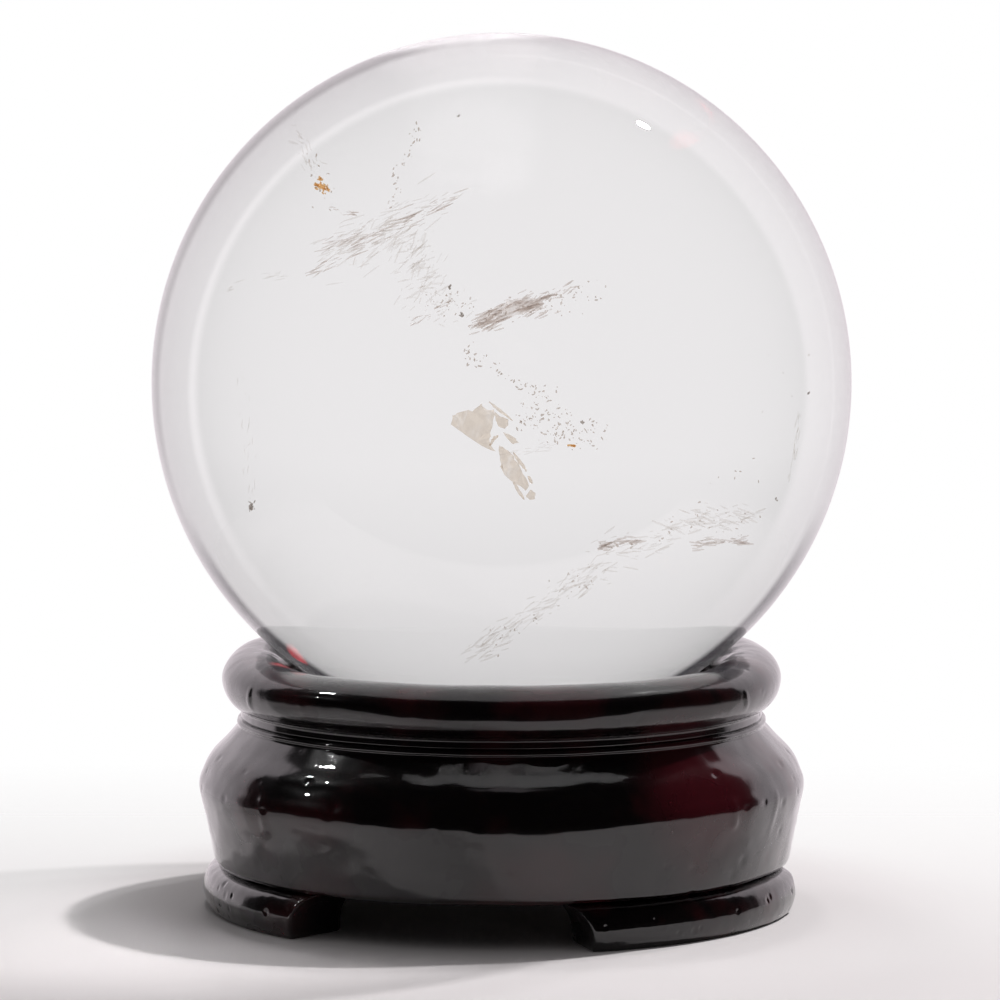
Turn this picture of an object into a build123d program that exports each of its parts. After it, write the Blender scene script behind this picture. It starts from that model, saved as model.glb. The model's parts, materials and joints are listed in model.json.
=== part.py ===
from build123d import *

import os
from math import atan2, degrees, radians, sqrt, tan

# A crystal ball on its turned wooden stand.  Millimetres, +Z up.
# The origin is on the floor, under the middle of the ball, and -Y is the front.
# The ball is loose and lifts straight off.  The stand is one turned column, made as
# a rolled seat ring on a bellied drum on three bracket feet with arches between them.

# ---- driving dimensions -------------------------------------------------------

BALL_DIAMETER = 80.0
SEAT_GAP = 0.15  # between the ball and the roll that it rests on, across the contact
DISH_GAP = 2.0  # between the ball and the dish that is turned under it

ROLL_RING_RADIUS = 28.3  # from the axis to the middle of the rolled rim's section
ROLL_RADIUS = 3.85  # of the rolled rim's round section
ROLL_LIFT = 0.6  # how far the roll's underside stands above the drum
COLLAR_INSET = 2.15  # how far the collar's side lies inside the roll's outside

DRUM_HEIGHT = 16.7
BELLY_PROUD = 4.8  # how far the belly stands outside the collar
BELLY_HEIGHT = 8.8  # of the widest part, above the drum's underside
SHOULDER_DROP = 4.6  # from the drum's top down to the start of its shoulder
SHOULDER_INSET = 1.2  # how far the start of the shoulder lies inside the belly
WAIST_INSET = 1.6  # how far the bottom of the taper lies inside the belly
WAIST_EDGE = 0.9  # rounding of the drum's lower edge, which makes half of the groove
LIP_WIDTH = 0.6  # of the drum's thin lip, outside the collar
LIP_HEIGHT = 0.7

FOOT_HEIGHT = 5.1
FOOT_WALL = 8.2  # from the inner face of a foot to its bead
BEAD_PROUD = 1.2  # how far the bead stands outside the bottom of the taper
BEAD_SHARE = 0.5  # where the bead is widest, as a share of the foot's height
TOE_INSET = 0.7  # how far the floor edge lies inside the bead
TOE_EDGE = 0.4  # small bevel along the inner floor edge

ARCH_SPAN_DEG = 60.0  # of one arch, at the floor
ARCH_CORNER = 4.6  # hollow where an arch's side runs up into its head
ARCH_RISE = 0.5  # how far the arch's own curve would go on above the feet

FOOT_BEARINGS_DEG = {"foot_left": -73.0, "foot_front_right": 47.0, "foot_rear": 167.0}

# ---- sizes that follow --------------------------------------------------------

BALL_RADIUS = BALL_DIAMETER / 2
JOINT_Z = FOOT_HEIGHT + DRUM_HEIGHT  # the collar stands on the drum here
ROLL_Z = JOINT_Z + ROLL_LIFT + ROLL_RADIUS
SEAT_REACH = BALL_RADIUS + ROLL_RADIUS + SEAT_GAP
BALL_Z = ROLL_Z + sqrt(SEAT_REACH**2 - ROLL_RING_RADIUS**2)
DISH_RADIUS = BALL_RADIUS + DISH_GAP
COLLAR_RADIUS = ROLL_RING_RADIUS + ROLL_RADIUS - COLLAR_INSET
DRUM_RADIUS = COLLAR_RADIUS + BELLY_PROUD
WAIST_RADIUS = DRUM_RADIUS - WAIST_INSET
BEAD_RADIUS = WAIST_RADIUS + BEAD_PROUD
FOOT_INNER_RADIUS = BEAD_RADIUS - FOOT_WALL
FOOT_PITCH_DEG = 360.0 / len(FOOT_BEARINGS_DEG)
STANDING = (Align.CENTER, Align.CENTER, Align.MIN)


def spun(outline):
    """A solid of revolution, from a closed outline in the XZ plane."""
    return revolve(make_face(outline), Axis.Z)


def dish():
    """The hollow turned under the ball, concentric with it."""
    return Pos(0, 0, BALL_Z) * Sphere(DISH_RADIUS)


def crystal_ball():
    """The polished ball, resting in its seat."""
    return Pos(0, 0, BALL_Z) * Sphere(BALL_RADIUS)


def seat_ring():
    """The rolled rim that the ball touches, on a short collar that holds the dish's side."""
    roll = Pos(0, 0, ROLL_Z) * Torus(ROLL_RING_RADIUS, ROLL_RADIUS)
    collar = Pos(0, 0, JOINT_Z) * Cylinder(COLLAR_RADIUS, ROLL_Z - JOINT_Z, align=STANDING)
    return collar - dish() + roll


def drum():
    """The bellied drum: lip, shoulder, belly and taper, with the dish's floor in its top."""
    lip_radius = COLLAR_RADIUS + LIP_WIDTH
    shoulder = (DRUM_RADIUS - SHOULDER_INSET, 0, JOINT_Z - SHOULDER_DROP)
    belly = (DRUM_RADIUS, 0, FOOT_HEIGHT + BELLY_HEIGHT)
    waist = (WAIST_RADIUS, 0, FOOT_HEIGHT + WAIST_EDGE)
    underside = (WAIST_RADIUS - WAIST_EDGE, 0, FOOT_HEIGHT)
    lip_low = (lip_radius, 0, JOINT_Z - LIP_HEIGHT)
    lip_top = (COLLAR_RADIUS, 0, JOINT_Z)
    taper = Line(waist, belly)
    flank = TangentArc(belly, shoulder, tangent=taper % 1)
    outline = [
        Line((0, 0, FOOT_HEIGHT), underside),
        TangentArc(underside, waist, tangent=(1, 0, 0)),
        taper,
        flank,
        TangentArc(shoulder, lip_low, tangent=flank % 1),
        Line(lip_low, lip_top),
        Line(lip_top, (0, 0, JOINT_Z)),
        Line((0, 0, JOINT_Z), (0, 0, FOOT_HEIGHT)),
    ]
    return spun(outline) - dish()


def foot_band():
    """The whole beaded ring that the three feet are cut from."""
    top = (WAIST_RADIUS - WAIST_EDGE, 0, FOOT_HEIGHT)
    bead = (BEAD_RADIUS, 0, FOOT_HEIGHT * BEAD_SHARE)
    toe = (BEAD_RADIUS - TOE_INSET, 0, 0)
    inner_toe = (FOOT_INNER_RADIUS + TOE_EDGE, 0, 0)
    inner_edge = (FOOT_INNER_RADIUS, 0, TOE_EDGE)
    inner_top = (FOOT_INNER_RADIUS, 0, FOOT_HEIGHT)
    outline = [
        Line(inner_top, top),
        ThreePointArc(top, bead, toe),
        Line(toe, inner_toe),
        Line(inner_toe, inner_edge),
        Line(inner_edge, inner_top),
    ]
    return spun(outline)


def arch(bearing_deg):
    """The space of one arch, with radial sides and a hollow along each upper corner."""
    near = FOOT_INNER_RADIUS / 2  # well inside the feet
    far = BEAD_RADIUS * 1.5  # well outside them
    slope = tan(radians(ARCH_SPAN_DEG / 2))
    plan = Polyline(
        (-near * slope, -near),
        (near * slope, -near),
        (far * slope, -far),
        (-far * slope, -far),
        close=True,
    )
    height = FOOT_HEIGHT + ARCH_RISE
    block = extrude(make_face(plan), height)
    sides = [edge for edge in block.edges() if is_upper_side(edge, height)]
    return Rot(0, 0, bearing_deg) * fillet(sides, ARCH_CORNER)


def is_upper_side(edge, height):
    """True of the two upper edges that run out from the axis."""
    start = edge.position_at(0)
    end = edge.position_at(1)
    return min(start.Z, end.Z) > height / 2 and abs(start.Y - end.Y) > height


def feet():
    """The three bracket feet, by name, as the arches leave them."""
    band = foot_band()
    for bearing in FOOT_BEARINGS_DEG.values():
        band = band - arch(bearing + FOOT_PITCH_DEG / 2)
    cut = {}
    for name, bearing in FOOT_BEARINGS_DEG.items():
        cut[name] = min(band.solids(), key=lambda solid: off_bearing(solid, bearing))
    return cut


def off_bearing(solid, bearing_deg):
    """How far round the stand a solid lies from a bearing, which runs from -Y towards +X."""
    middle = solid.center()
    turn = degrees(atan2(middle.X, -middle.Y)) - bearing_deg
    return abs((turn + 180.0) % 360.0 - 180.0)


def main():
    """Writes one STEP file for each piece."""
    os.makedirs("parts", exist_ok=True)
    pieces = {"crystal_ball": crystal_ball(), "seat_ring": seat_ring(), "drum": drum()}
    pieces.update(feet())
    for name, piece in pieces.items():
        export_step(piece, f"parts/{name}.step")


main()
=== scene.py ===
"""A clear quartz ball on a turned, thickly lacquered wooden stand. Metres, +Z up, -Y the front.

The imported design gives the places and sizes. This file gives the looks: the polished ball with
its natural flaws, the lacquered seat ring, drum and three bracket feet, and a plain pale studio.
"""

import json
import logging
import math
import random
from dataclasses import dataclass, field
from enum import Enum
from itertools import pairwise
from typing import Callable, Iterable

import bpy
import numpy as np
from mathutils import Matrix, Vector

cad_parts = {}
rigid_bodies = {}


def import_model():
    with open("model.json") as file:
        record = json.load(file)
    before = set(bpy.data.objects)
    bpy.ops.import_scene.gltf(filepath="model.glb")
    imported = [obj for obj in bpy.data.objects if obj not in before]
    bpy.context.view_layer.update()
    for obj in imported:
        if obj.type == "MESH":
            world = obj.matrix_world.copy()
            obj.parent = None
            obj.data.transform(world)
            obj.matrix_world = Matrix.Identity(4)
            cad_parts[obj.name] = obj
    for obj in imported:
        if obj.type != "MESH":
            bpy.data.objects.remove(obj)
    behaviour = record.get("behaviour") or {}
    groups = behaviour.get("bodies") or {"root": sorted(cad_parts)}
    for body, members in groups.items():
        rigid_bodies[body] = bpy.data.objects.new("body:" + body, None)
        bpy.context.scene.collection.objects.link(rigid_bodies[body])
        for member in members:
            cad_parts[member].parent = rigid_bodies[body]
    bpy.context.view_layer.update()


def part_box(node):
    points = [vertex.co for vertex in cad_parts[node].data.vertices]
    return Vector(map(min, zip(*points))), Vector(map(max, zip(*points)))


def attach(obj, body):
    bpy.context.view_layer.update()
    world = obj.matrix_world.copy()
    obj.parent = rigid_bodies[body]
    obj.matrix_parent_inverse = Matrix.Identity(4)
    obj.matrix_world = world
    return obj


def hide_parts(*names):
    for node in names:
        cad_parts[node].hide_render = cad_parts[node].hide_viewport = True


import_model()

log = logging.getLogger("crystal_ball")

MM = 0.001
WELD = 0.002 * MM  # vertices closer than this become one
RUN_STEPS = 8  # stretches in a run of lacquer

Outline = list[tuple[float, float]]
Colour = tuple[float, float, float, float]
Piece = bpy.types.Object
Node = bpy.types.Node
Tree = bpy.types.NodeTree
Socket = bpy.types.NodeSocket
Stops = tuple[tuple[float, Colour], ...]

# Settings of the nodes that are used most.
COLOURS = {"data_type": "RGBA"}
SOFTLY = {"interpolation_type": "SMOOTHSTEP"}
TIMES = {"operation": "MULTIPLY"}
GREATER = {"operation": "MAXIMUM"}
APART = {"operation": "DISTANCE"}
FACING = {"operation": "DOT_PRODUCT"}


# ---- colour and nodes ----


def linear(code: str) -> Colour:
    """Turns an sRGB hex code into a linear colour.

    Args:
        code: the colour as six hex digits, with or without a leading hash.

    Returns:
        Red, green, blue and alpha, for a node socket.
    """
    digits = code.lstrip("#")
    channels = [int(digits[i : i + 2], 16) / 255 for i in (0, 2, 4)]
    red, green, blue = (c / 12.92 if c <= 0.04045 else ((c + 0.055) / 1.055) ** 2.4 for c in channels)
    return red, green, blue, 1.0


def node(
    tree: Tree, kind: str, settings: dict | None = None, *values: object, stops: Stops = (), **inputs
) -> Node:
    """Adds one node with its settings and its links.

    Args:
        tree: the node tree to add to.
        kind: Blender's name for the node, without its prefix.
        settings: values for the node's own properties.
        values: what goes into its open inputs, in order: a value, an output, or a node's first one.
        stops: for a colour ramp, each stop's place, from 0 to 1, and its linear colour.
        inputs: the same as values, by name, with underscores for spaces.

    Returns:
        The new node.
    """
    made = tree.nodes.new("ShaderNode" + kind)
    for key, value in (settings or {}).items():
        setattr(made, key, value)
    if stops:
        elements = made.color_ramp.elements
        while len(elements) < len(stops):
            elements.new(0.5)
        for element, (place, colour) in zip(elements, stops):
            element.position = place
            element.color = colour
    filled = list(zip((socket for socket in made.inputs if socket.enabled), values))
    filled += [(made.inputs[key.replace("_", " ")], value) for key, value in inputs.items()]
    for socket, value in filled:
        if isinstance(value, Node):
            value = next(output for output in value.outputs if output.enabled)
        if isinstance(value, Socket):
            tree.links.new(value, socket)
        else:
            socket.default_value = value
    return made


def grey(value: float) -> Colour:
    """A linear grey."""
    return value, value, value, 1.0


def greys(*stops: tuple[float, float]) -> Stops:
    """The stops of a ramp of greys, each its place and its tone."""
    return tuple((place, grey(tone)) for place, tone in stops)


def blank_material(name: str) -> tuple[bpy.types.Material, Tree, Node]:
    """Makes a material that holds only its output.

    Args:
        name: the finish's plain name.

    Returns:
        The material, its tree and its output node.
    """
    material = bpy.data.materials.new(name)
    material.use_nodes = True
    tree = material.node_tree
    tree.nodes.clear()
    return material, tree, tree.nodes.new("ShaderNodeOutputMaterial")


# ---- finishes ----


@dataclass(frozen=True)
class PolishedQuartz:
    """Rock crystal, ground and polished: clear, colourless, a little less bending than lead glass."""

    ior: float = 1.544
    tint: str = "#FEFCFD"
    shade_middle: float = 0.99  # what the ball lets on to what it shades, straight through
    shade_edge: float = 0.72  # and near its outline, where it bends the light away

    def make(self) -> bpy.types.Material:
        """Makes the material: clear glass to the eye, and a soft lens to a shadow."""
        material, tree, output = blank_material("polished_rock_crystal")
        glass = node(
            tree, "BsdfPrincipled",
            Base_Color=linear(self.tint), Roughness=0.0, IOR=self.ior, Transmission_Weight=1.0,
        )
        slant = node(tree, "LayerWeight", Blend=0.5)
        shade = node(
            tree, "ValToRGB", None, slant.outputs["Facing"],
            stops=greys((0.15, self.shade_middle), (0.65, self.shade_edge)),
        )
        shadow = node(tree, "BsdfTransparent", Color=shade)
        path = node(tree, "LightPath")
        both = node(tree, "MixShader", None, path.outputs["Is Shadow Ray"], glass, shadow)
        tree.links.new(both.outputs["Shader"], output.inputs["Surface"])
        return material


@dataclass(frozen=True)
class MineralFilm:
    """A thin film or healed crack in the crystal: it tints and scatters the light, unevenly."""

    name: str
    thin: str  # the light that a thin place lets through
    thick: str  # and a thick one
    body: str  # the colour of what the film scatters
    solid: float  # how much of the light a thick place scatters
    grain: float  # of the unevenness, in metres
    clear: float = 0.0  # how much of the film is worn through, from 0 to 1
    stretch: float = 1.0  # how much longer the grain is than wide
    lean: float = 0.0  # of the long way of the grain, in degrees above level

    def make(self) -> bpy.types.Material:
        """Makes the material."""
        material, tree, output = blank_material(self.name)
        slanting = (0.0, math.radians(self.lean), 0.0)
        leaning = node(tree, "Mapping", Vector=node(tree, "TexCoord").outputs["Object"], Rotation=slanting)
        narrowed = (1 / self.stretch, 1.0, 1.0)
        drawn_out = node(tree, "Mapping", Vector=leaning.outputs["Vector"], Scale=narrowed)
        cloud = node(
            tree, "TexNoise",
            Vector=drawn_out.outputs["Vector"], Scale=1 / self.grain,
            Detail=7.0, Roughness=0.80, Distortion=0.2,
        )
        start = 0.34 + 0.26 * self.clear  # of the noise, where the film begins to thicken
        end = start + 0.17
        tint = node(
            tree, "ValToRGB", None, cloud, stops=((start, linear(self.thin)), (end, linear(self.thick)))
        )
        worn = self.solid * (1 - self.clear) ** 2
        weight = node(tree, "ValToRGB", None, cloud, stops=greys((start, worn), (end, self.solid)))
        through = node(tree, "BsdfTransparent", Color=tint)
        scatter = node(tree, "BsdfDiffuse", Color=linear(self.body))
        film = node(tree, "MixShader", None, weight, through, scatter)
        tree.links.new(film.outputs["Shader"], output.inputs["Surface"])
        return material


@dataclass(frozen=True)
class DarkLacquer:
    """Turned hardwood under many brushed coats of dark red-brown lacquer, glossy and pooled."""

    name: str = "brushed_red_brown_lacquer"
    deep: str = "#0B0708"  # where the coats are thick
    warm: str = "#2A0A0E"  # where red shows through
    haze: str = "#1C1214"  # thin places
    cloud_size: float = 9 * MM  # of the red patches
    peel_size: float = 1.1 * MM  # of the orange peel
    nib_size: float = 2.2 * MM  # between dust nibs
    nib_height: float = 0.6  # as a share of the peel's
    coat_ior: float = 1.62  # higher than real lacquer's: many coats mirror more than one
    painted_caustic: str = "#3D0F16"  # painted light: a dull red pool of the ball's caustic on the drum's right front
    painted_caustic_place: tuple[float, float, float] = (0.0225, -0.0250, 0.0165)
    painted_caustic_size: float = 11 * MM
    painted_red_fringe: str = "#E8323E"  # painted light: a bright red fringe of light that the ball bends onto the rim's top at its left front
    painted_red_fringe_place: tuple[float, float, float] = (-0.0240, -0.0105, 0.0290)
    painted_red_fringe_size: float = 2.4 * MM

    def make(self) -> bpy.types.Material:
        """Makes the material: a deep mottled base, two spots of painted caustic light from the ball, and a hard,
        nearly smooth clear coat over all.
        """
        material, tree, output = blank_material(self.name)
        place = node(tree, "TexCoord").outputs["Object"]
        cloud = node(
            tree, "TexNoise", Vector=place, Scale=1 / self.cloud_size, Detail=4.0, Roughness=0.55
        )
        base = node(
            tree, "ValToRGB", None, cloud,
            stops=((0.50, linear(self.deep)), (0.64, linear(self.warm)), (0.80, linear(self.haze))),
        )
        # Painted light: a soft dull red pool where the ball's caustic falls on the drum's right front.
        away = node(tree, "VectorMath", APART, place, self.painted_caustic_place)
        thin = node(tree, "MapRange", SOFTLY, away, self.painted_caustic_size, self.painted_caustic_size * 0.3)
        base = node(tree, "Mix", COLOURS, thin, base, linear(self.painted_caustic))
        # Painted light: a small bright red spot where the ball's coloured fringe falls on the rim's top.
        away = node(tree, "VectorMath", APART, place, self.painted_red_fringe_place)
        red_fringe_share = node(tree, "MapRange", SOFTLY, away, self.painted_red_fringe_size, self.painted_red_fringe_size * 0.4)
        base = node(tree, "Mix", COLOURS, red_fringe_share, base, linear(self.painted_red_fringe))
        nibs = node(tree, "TexVoronoi", None, Vector=place, Scale=1 / self.nib_size)
        nib = node(tree, "ValToRGB", None, nibs.outputs["Distance"], stops=greys((0.05, 1.0), (0.12, 0.0)))
        peel = node(
            tree, "TexNoise", Vector=place, Scale=1 / self.peel_size, Detail=2.0, Roughness=0.5
        )
        adding = {"operation": "MULTIPLY_ADD"}
        height = node(tree, "Math", adding, nib, self.nib_height, peel)
        uneven = node(
            tree, "Bump", Strength=0.35, Distance=0.02 * MM, Height=height.outputs["Value"]
        )
        satin = node(tree, "ValToRGB", None, cloud, stops=greys((0.3, 0.22), (0.7, 0.34)))
        lacquer = node(
            tree, "BsdfPrincipled",
            Base_Color=base, Roughness=satin, IOR=1.5, Specular_IOR_Level=0.1,
            Coat_Weight=1.0, Coat_Roughness=0.03, Coat_IOR=self.coat_ior,
            Normal=uneven.outputs["Normal"], Coat_Normal=uneven.outputs["Normal"],
        )
        tree.links.new(lacquer.outputs["BSDF"], output.inputs["Surface"])
        return material


# ---- hand work on meshes ----


def clear_selection() -> None:
    """Deselects everything, because an operator acts on all that is selected."""
    bpy.ops.object.select_all(action="DESELECT")


def pick(piece: Piece) -> None:
    """Makes a piece the only one that operators act on."""
    clear_selection()
    piece.select_set(True)
    bpy.context.view_layer.objects.active = piece


def new_piece(name: str) -> Piece:
    """Names the piece that a primitive operator has just added.

    Args:
        name: the piece's own name.

    Returns:
        The new piece.
    """
    piece = bpy.context.object
    piece.name = name
    piece.data.name = name
    return piece


def edit_mode() -> None:
    """Goes into edit mode with everything selected."""
    bpy.ops.object.mode_set(mode="EDIT")
    bpy.ops.mesh.select_all(action="SELECT")


def object_mode() -> None:
    """Goes back to object mode."""
    bpy.ops.object.mode_set(mode="OBJECT")


def places_of(piece: Piece) -> np.ndarray:
    """The vertices' places, one row each."""
    flat = np.empty(len(piece.data.vertices) * 3, np.float32)
    piece.data.vertices.foreach_get("co", flat)
    return flat.reshape(-1, 3).astype(float)


def clean_shell() -> None:
    """Merges doubles and turns the faces outwards, in edit mode."""
    bpy.ops.mesh.select_all(action="SELECT")
    bpy.ops.mesh.remove_doubles(threshold=WELD)
    bpy.ops.mesh.normals_make_consistent(inside=False)


def settle(piece: Piece) -> None:
    """Puts a piece's place into its mesh and leaves its object at the origin."""
    pick(piece)
    bpy.ops.object.transform_apply(location=True, rotation=True, scale=True)


def smooth(piece: Piece) -> None:
    """Shades a piece smooth."""
    pick(piece)
    bpy.ops.object.shade_smooth()


def apply_modifier(piece: Piece, kind: str, **settings) -> None:
    """Adds one modifier and applies it.

    Args:
        piece: the piece to change.
        kind: Blender's name for the modifier.
        settings: the modifier's own values.
    """
    pick(piece)
    modifier = piece.modifiers.new(kind.lower(), kind)
    for key, value in settings.items():
        setattr(modifier, key, value)
    bpy.ops.object.modifier_apply(modifier=modifier.name)


def trace(points: list[Vector]) -> None:
    """Shrinks the selected plane to one vertex and extrudes it from point to point, in edit mode."""
    bpy.ops.mesh.merge(type="CENTER")
    bpy.ops.transform.translate(value=points[0])
    for start, end in pairwise(points):
        bpy.ops.mesh.extrude_region_move(TRANSFORM_OT_translate={"value": end - start})


def draw_line(points: Iterable[Vector]) -> None:
    """Draws a line in a new object, and stays in its edit mode.

    Args:
        points: where the line goes.
    """
    clear_selection()
    bpy.ops.mesh.primitive_plane_add(size=MM)
    edit_mode()
    trace(list(points))


def turned(name: str, outline: Outline, steps: int) -> Piece:
    """Turns an outline about the stand's axis, as on a lathe.

    Args:
        name: the piece's name.
        outline: radius and height of each point, in metres, closed or with both ends on the axis.
        steps: how many faces go round.

    Returns:
        The closed shell.
    """
    draw_line(Vector((radius, 0, height)) for radius, height in outline)
    clean_shell()
    object_mode()
    piece = new_piece(name)
    settle(piece)
    welding = {"use_merge_vertices": True, "merge_threshold": WELD}
    apply_modifier(piece, "SCREW", axis="Z", steps=steps, render_steps=steps, **welding)
    edit_mode()
    clean_shell()
    object_mode()
    return piece


def arc(centre: tuple[float, float], radius: float, start: float, end: float, steps: int) -> Outline:
    """Points round part of a circle.

    Args:
        centre: the circle's middle, as radius from the axis and height.
        radius: the circle's own radius.
        start: the first point's direction, in degrees from outwards towards up.
        end: the last point's direction.
        steps: how many stretches the arc has.

    Returns:
        The points.
    """
    angles = (math.radians(start + (end - start) * i / steps) for i in range(steps + 1))
    return [(centre[0] + radius * math.cos(a), centre[1] + radius * math.sin(a)) for a in angles]


def curve(points: Outline, steps: int) -> Outline:
    """A smooth line through a few points (Catmull-Rom).

    Args:
        points: what the line goes through.
        steps: how many stretches lie between two points.

    Returns:
        The line's points.
    """
    ends = [Vector(points[0]), *map(Vector, points), Vector(points[-1])]
    line = [points[0]]
    for a, b, c, d in zip(ends, ends[1:], ends[2:], ends[3:]):
        for i in range(1, steps + 1):
            t = i / steps
            place = 0.5 * (
                2 * b + (c - a) * t + (2 * a - 5 * b + 4 * c - d) * t**2 + (3 * b - a - 3 * c + d) * t**3
            )
            line.append((place.x, place.y))
    return line


def evened(outline: Outline, gap: float) -> Outline:
    """Adds points to long stretches, so that the mesh is fine enough for the lacquer's unevenness.

    Args:
        outline: the line's points.
        gap: the longest stretch that may stay.

    Returns:
        The finer line.
    """
    line = [outline[0]]
    for start, end in pairwise(outline):
        parts = max(1, math.ceil(math.dist(start, end) / gap))
        line += [
            (start[0] + (end[0] - start[0]) * i / parts, start[1] + (end[1] - start[1]) * i / parts)
            for i in range(1, parts + 1)
        ]
    return line


def ripple(piece: Piece, size: float, height: float, depth: int = 2) -> None:
    """Makes a surface uneven, as brushed lacquer is when it has flowed out and dried.

    Args:
        piece: the piece to change.
        size: the width of one rise or hollow, in metres.
        height: from the lowest hollow to the highest rise, in metres.
        depth: how many finer ripples ride on the first.
    """
    cloud = bpy.data.textures.new("flow", "CLOUDS")
    cloud.noise_scale = size
    cloud.noise_depth = depth
    apply_modifier(
        piece, "DISPLACE", texture=cloud, strength=height, mid_level=0.5, texture_coords="LOCAL"
    )
    bpy.data.textures.remove(cloud)


@dataclass(frozen=True)
class Mark:
    """One small rise or hollow in a surface."""

    place: Vector
    radius: float
    weight: float = 1.0


def move_by_weight(piece: Piece, weights: np.ndarray, height: float, way: str = "NORMAL") -> None:
    """Moves each vertex by its own share of a height.

    Args:
        piece: the piece to change.
        weights: each vertex's share, from 0 to 1.
        height: how far a full share goes, in metres, below nought for inwards or down.
        way: "NORMAL" or "Z".
    """
    group = piece.vertex_groups.new(name="marks")
    for index in np.flatnonzero(weights > 0.004):
        group.add([int(index)], float(weights[index]), "REPLACE")
    apply_modifier(piece, "DISPLACE", strength=height, mid_level=0.0, vertex_group="marks", direction=way)
    piece.vertex_groups.clear()


def raise_marks(piece: Piece, marks: list[Mark], height: float) -> None:
    """Raises or sinks small rounded marks in a surface.

    Args:
        piece: the piece to change.
        marks: where the marks are.
        height: how far a full mark rises, in metres, below nought for a pit.
    """
    places = places_of(piece)
    weights = np.zeros(len(places))
    for mark in marks:
        away = np.linalg.norm(places - np.array(mark.place), axis=1) / mark.radius
        weights = np.maximum(weights, mark.weight * np.clip(1 - away**2, 0, 1) ** 2)
    move_by_weight(piece, weights, height)


def scattered(
    piece: Piece, count: int, small: float, large: float, seed: int, keep: Callable[[Vector], bool]
) -> list[Mark]:
    """Marks at random places on a piece's surface.

    Args:
        piece: the piece.
        count: how many marks.
        small: the smallest radius, in metres.
        large: the largest.
        seed: what the random places start from.
        keep: says whether a place may have a mark.

    Returns:
        The marks.
    """
    dice = random.Random(seed)
    places = [Vector(p) for p in places_of(piece)]
    marks = []
    while len(marks) < count:
        place = dice.choice(places)
        if keep(place):
            marks.append(Mark(place, dice.uniform(small, large), dice.uniform(0.4, 1.0)))
    return marks


def bearing_point(bearing: float, radius: float, height: float) -> Vector:
    """A place round the stand.

    Args:
        bearing: degrees from the front towards the right.
        radius: from the axis.
        height: above the floor.

    Returns:
        The place.
    """
    turn = math.radians(bearing)
    return Vector((radius * math.sin(turn), -radius * math.cos(turn), height))


@dataclass(frozen=True)
class Run:
    """One run of lacquer, which swells into a bead at its lower end. Sizes in millimetres."""

    bearing: float  # of its top, in degrees from the front towards the right
    above: float  # how far above the shape's own height it starts
    length: float
    width: float  # of the bead
    lean: float  # how many degrees it drifts round on its way down

    def marks(self, radius: float, height: float) -> list[Mark]:
        """The marks along the run.

        Args:
            radius: of the surface under it, in metres.
            height: the shape's own height there.

        Returns:
            The marks.
        """
        top = height + self.above * MM
        marks = []
        for i in range(RUN_STEPS + 1):
            down = i / RUN_STEPS
            place = bearing_point(self.bearing + self.lean * down, radius, top - self.length * MM * down)
            marks.append(Mark(place, self.width * MM * (0.55 + 0.45 * down), 0.45 + 0.55 * down))
        return marks


def hand_in(piece: Piece, body: str, slot: str, finish: bpy.types.Material, *stands_for: str) -> None:
    """Gives a finished piece its body and its material.

    Args:
        piece: the finished piece.
        body: the body that it moves with.
        slot: the record's material slot; not used.
        finish: the material.
        stands_for: the design's nodes that the piece is shown for.
    """
    piece.data.materials.clear()
    piece.data.materials.append(finish)
    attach(piece, body)
    if stands_for:
        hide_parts(*stands_for)
    log.info("%s: %d faces on body %s", piece.name, len(piece.data.polygons), body)


# ---- the ball ----


@dataclass
class CrystalBall:
    """The polished ball."""

    low: Vector
    high: Vector
    quartz: PolishedQuartz = field(default_factory=PolishedQuartz)

    @property
    def centre(self) -> Vector:
        """The ball's middle."""
        return (self.low + self.high) / 2

    @property
    def radius(self) -> float:
        """The ball's radius."""
        return (self.high.z - self.low.z) / 2

    def build(self) -> Piece:
        """Grinds the ball true and lifts it to its seat.

        Returns:
            The ball.
        """
        clear_selection()
        bpy.ops.mesh.primitive_ico_sphere_add(subdivisions=7, radius=self.radius)
        ball = new_piece("crystal_ball_polished")
        edit_mode()
        bpy.ops.transform.translate(value=self.centre)
        clean_shell()
        object_mode()
        smooth(ball)
        return ball

    def dress(self, ball: Piece) -> None:
        """Gives the ball its finish and its body."""
        hand_in(ball, "ball", "quartz", self.quartz.make(), "crystal_ball")


# ---- the flaws in the crystal ----


@dataclass(frozen=True)
class Flaw:
    """One flaw, as it is seen through the ball from the front.

    Places are right and up from the ball's middle, in hundredths of its radius. A flaw with a
    width is a band along its places; without one, the places are its outline.
    """

    places: Outline
    depth: float = 0.5  # how far through the ball it lies, from 0 at the front to 1 at the back
    slope: float = 0.0  # how much deeper its right-hand end lies
    width: float = 0.0

    def outline(self) -> Outline:
        """The flaw's outline."""
        if not self.width:
            return self.places
        line = curve(self.places, 3)
        last = len(line) - 1
        left, right = [], []
        for i, (x, y) in enumerate(line):
            before, after = line[max(i - 1, 0)], line[min(i + 1, last)]
            along = Vector((after[0] - before[0], after[1] - before[1])).normalized()
            half = self.width / 2 * (0.35 + 0.65 * math.sin(math.pi * i / last))
            left.append((x - along.y * half, y + along.x * half))
            right.append((x + along.y * half, y - along.x * half))
        return left + right[::-1]


@dataclass(frozen=True)
class Spray:
    """Many small chips along a line, as it is seen through the ball from the front.

    Places and spread are in hundredths of the ball's radius, sizes in millimetres.
    """

    places: Outline
    count: int
    spread: float
    length: float
    width: float
    lean: float = 0.0  # of the chips' long way, in degrees above level
    lean_spread: float = 90.0
    depth: float = 0.5
    depth_spread: float = 0.04


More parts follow.
